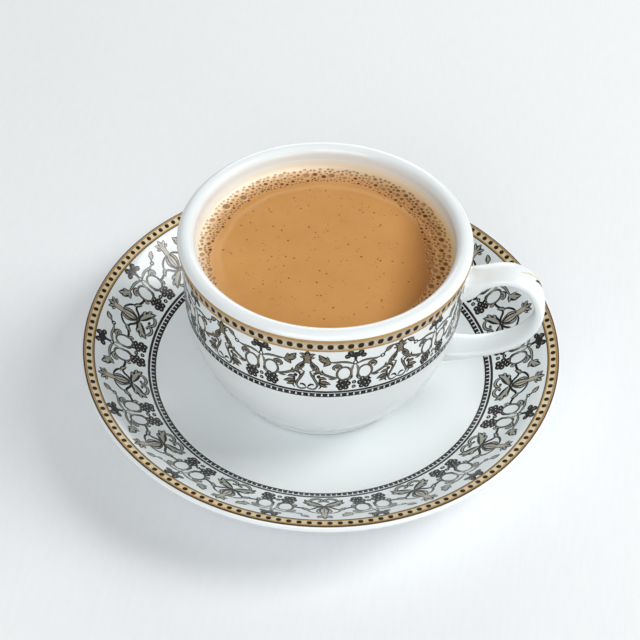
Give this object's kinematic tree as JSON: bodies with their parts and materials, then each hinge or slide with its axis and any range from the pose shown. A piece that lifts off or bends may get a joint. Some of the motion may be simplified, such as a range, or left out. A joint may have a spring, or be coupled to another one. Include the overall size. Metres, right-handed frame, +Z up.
{
  "type": "filled teacup and saucer",
  "caption": "Masala chai in a round porcelain teacup with a strap handle, standing on its matching saucer with a printed border.",
  "frame": {"origin": "on the saucer's axis, in the plane that its foot ring stands on", "axes": "+Z up along the axis of cup and saucer, +X from the axis towards the cup's handle"},
  "size_m": [0.1442, 0.1442, 0.0616],
  "materials": {
    "porcelain": "white glazed porcelain",
    "tea": "milky tea, the wet surface of an opaque liquid",
    "border_black": "black enamel print under a clear glaze",
    "border_olive": "grey olive enamel print under a clear glaze",
    "border_gold": "dull gold band, fired on the glaze"
  },
  "bodies": {
    "root": {"saucer": "porcelain", "cup": "porcelain", "chai": "tea"}
  },
  "joints": []
}
